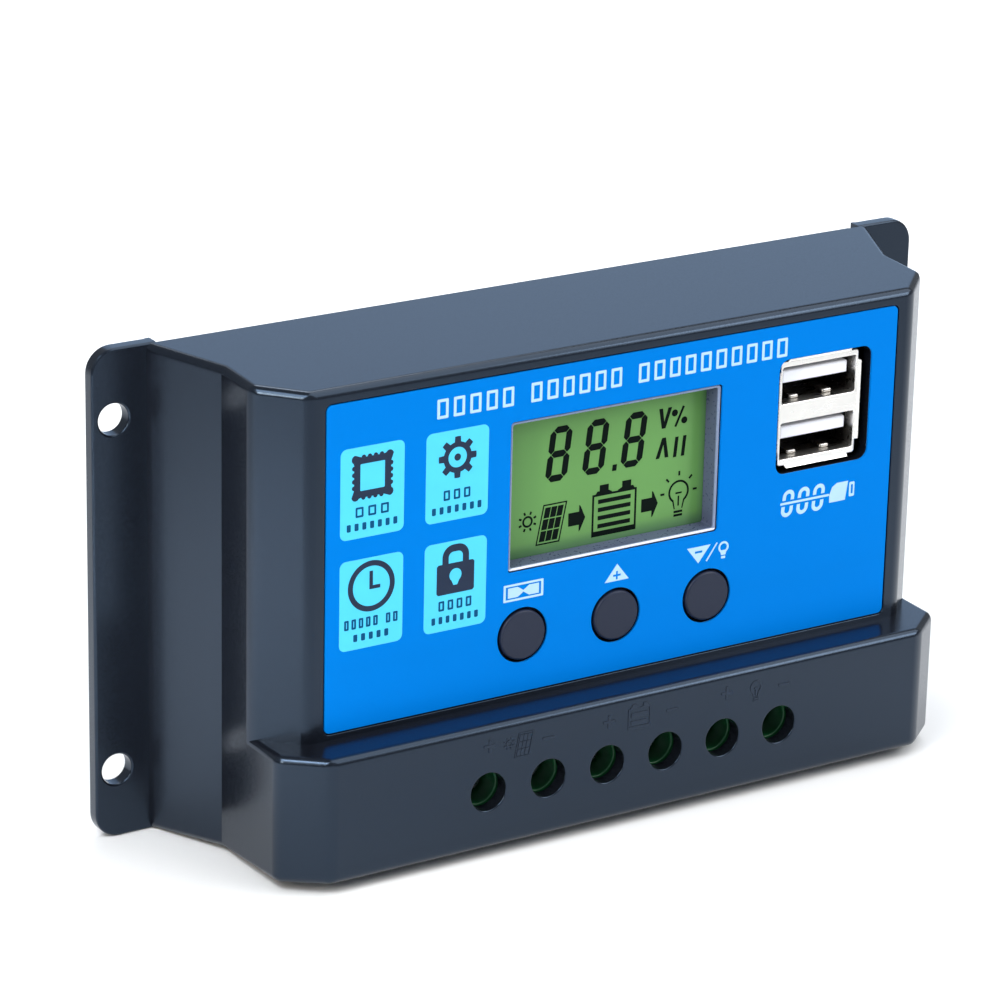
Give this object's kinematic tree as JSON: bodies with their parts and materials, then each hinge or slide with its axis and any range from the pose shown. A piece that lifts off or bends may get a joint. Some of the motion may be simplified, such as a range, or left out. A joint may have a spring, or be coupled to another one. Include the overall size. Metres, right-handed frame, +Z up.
{
  "type": "solar charge controller",
  "caption": "Wall-mounted solar charge controller: drafted plastic housing with fixing ears, display, push buttons, stacked USB sockets and screw terminals with rising clamps.",
  "frame": {"origin": "centre of the rear face, in the plane of the wall", "axes": "+X to the right seen from the front, +Y into the wall, +Z up"},
  "size_m": [0.133, 0.0332, 0.0694],
  "materials": {
    "housing_plastic": "satin moulded plastic",
    "label_film": "printed film",
    "button_plastic": "satin",
    "lcd_cell": "semi-gloss front film over glass",
    "light_guide": "clear moulded",
    "lcd_frame_plastic": "satin",
    "ribbon_film": "flexible film",
    "usb_metal": "nickel plated, bright",
    "usb_plastic": "satin",
    "terminal_plastic": "satin",
    "screw_steel": "zinc plated",
    "clamp_metal": "plated brass",
    "circuit_board": "solder mask",
    "chip_epoxy": "matt",
    "capacitor_sleeve": "shrink sleeve",
    "ferrite": "matt",
    "thermal_pad": "matt",
    "plate_metal": "black anodised"
  },
  "bodies": {
    "housing": {"front_housing": "housing_plastic", "front_label": "label_film", "back_plate": "plate_metal", "back_screw_1": "screw_steel", "back_screw_2": "screw_steel", "back_screw_3": "screw_steel", "back_screw_4": "screw_steel", "board_screw_1": "screw_steel", "board_screw_2": "screw_steel", "board_screw_3": "screw_steel", "board_screw_4": "screw_steel", "lcd_frame": "lcd_frame_plastic", "lcd_glass": "lcd_cell", "lcd_backlight": "light_guide", "lcd_ribbon": "ribbon_film", "tact_switch_left": "chip_epoxy", "tact_switch_middle": "chip_epoxy", "tact_switch_right": "chip_epoxy", "usb_shell": "usb_metal", "usb_insulator": "usb_plastic", "terminal_block_panel": "terminal_plastic", "terminal_block_battery": "terminal_plastic", "terminal_block_load": "terminal_plastic", "contact_bar_1": "clamp_metal", "contact_bar_2": "clamp_metal", "contact_bar_3": "clamp_metal", "contact_bar_4": "clamp_metal", "contact_bar_5": "clamp_metal", "contact_bar_6": "clamp_metal", "main_board": "circuit_board", "microcontroller": "chip_epoxy", "usb_regulator": "chip_epoxy", "usb_inductor": "ferrite", "capacitor_input": "capacitor_sleeve", "capacitor_output": "capacitor_sleeve", "power_transistor_1": "chip_epoxy", "power_transistor_2": "chip_epoxy", "power_transistor_3": "chip_epoxy", "thermal_pad": "thermal_pad"},
    "button_left": {"button_cap_left": "button_plastic", "switch_plunger_left": "button_plastic"},
    "button_middle": {"button_cap_middle": "button_plastic", "switch_plunger_middle": "button_plastic"},
    "button_right": {"button_cap_right": "button_plastic", "switch_plunger_right": "button_plastic"},
    "screw_1": {"terminal_screw_1": "screw_steel"},
    "screw_2": {"terminal_screw_2": "screw_steel"},
    "screw_3": {"terminal_screw_3": "screw_steel"},
    "screw_4": {"terminal_screw_4": "screw_steel"},
    "screw_5": {"terminal_screw_5": "screw_steel"},
    "screw_6": {"terminal_screw_6": "screw_steel"},
    "clamp_1": {"clamp_cage_1": "clamp_metal"},
    "clamp_2": {"clamp_cage_2": "clamp_metal"},
    "clamp_3": {"clamp_cage_3": "clamp_metal"},
    "clamp_4": {"clamp_cage_4": "clamp_metal"},
    "clamp_5": {"clamp_cage_5": "clamp_metal"},
    "clamp_6": {"clamp_cage_6": "clamp_metal"}
  },
  "joints": [
    {"name": "press_left", "type": "slide", "parent": "housing", "child": "button_left", "axis": [0, 1, 0], "range_m": [0, 0.0004], "stiffness_N_per_m": 3500, "springref_m": -0.0001},
    {"name": "press_middle", "type": "slide", "parent": "housing", "child": "button_middle", "axis": [0, 1, 0], "range_m": [0, 0.0004], "stiffness_N_per_m": 3500, "springref_m": -0.0001},
    {"name": "press_right", "type": "slide", "parent": "housing", "child": "button_right", "axis": [0, 1, 0], "range_m": [0, 0.0004], "stiffness_N_per_m": 3500, "springref_m": -0.0001},
    {"name": "turn_screw_1", "type": "hinge", "parent": "housing", "child": "screw_1", "pos_m": [-0.02375, -0.0256, -0.02475], "axis": [0, 1, 0], "range_deg": [0, 2160]},
    {"name": "turn_screw_2", "type": "hinge", "parent": "housing", "child": "screw_2", "pos_m": [-0.01425, -0.0256, -0.02475], "axis": [0, 1, 0], "range_deg": [0, 2160]},
    {"name": "turn_screw_3", "type": "hinge", "parent": "housing", "child": "screw_3", "pos_m": [-0.00475, -0.0256, -0.02475], "axis": [0, 1, 0], "range_deg": [0, 2160]},
    {"name": "turn_screw_4", "type": "hinge", "parent": "housing", "child": "screw_4", "pos_m": [0.00475, -0.0256, -0.02475], "axis": [0, 1, 0], "range_deg": [0, 2160]},
    {"name": "turn_screw_5", "type": "hinge", "parent": "housing", "child": "screw_5", "pos_m": [0.01425, -0.0256, -0.02475], "axis": [0, 1, 0], "range_deg": [0, 2160]},
    {"name": "turn_screw_6", "type": "hinge", "parent": "housing", "child": "screw_6", "pos_m": [0.02375, -0.0256, -0.02475], "axis": [0, 1, 0], "range_deg": [0, 2160]},
    {"name": "lift_clamp_1", "type": "slide", "parent": "housing", "child": "clamp_1", "axis": [0, -1, 0], "range_m": [0, 0.0042]},
    {"name": "lift_clamp_2", "type": "slide", "parent": "housing", "child": "clamp_2", "axis": [0, -1, 0], "range_m": [0, 0.0042]},
    {"name": "lift_clamp_3", "type": "slide", "parent": "housing", "child": "clamp_3", "axis": [0, -1, 0], "range_m": [0, 0.0042]},
    {"name": "lift_clamp_4", "type": "slide", "parent": "housing", "child": "clamp_4", "axis": [0, -1, 0], "range_m": [0, 0.0042]},
    {"name": "lift_clamp_5", "type": "slide", "parent": "housing", "child": "clamp_5", "axis": [0, -1, 0], "range_m": [0, 0.0042]},
    {"name": "lift_clamp_6", "type": "slide", "parent": "housing", "child": "clamp_6", "axis": [0, -1, 0], "range_m": [0, 0.0042]}
  ],
  "couplings": [
    {"joint": "turn_screw_1", "follows": "lift_clamp_1", "rad_per_m": 8975.9},
    {"joint": "turn_screw_2", "follows": "lift_clamp_2", "rad_per_m": 8975.9},
    {"joint": "turn_screw_3", "follows": "lift_clamp_3", "rad_per_m": 8975.9},
    {"joint": "turn_screw_4", "follows": "lift_clamp_4", "rad_per_m": 8975.9},
    {"joint": "turn_screw_5", "follows": "lift_clamp_5", "rad_per_m": 8975.9},
    {"joint": "turn_screw_6", "follows": "lift_clamp_6", "rad_per_m": 8975.9}
  ]
}
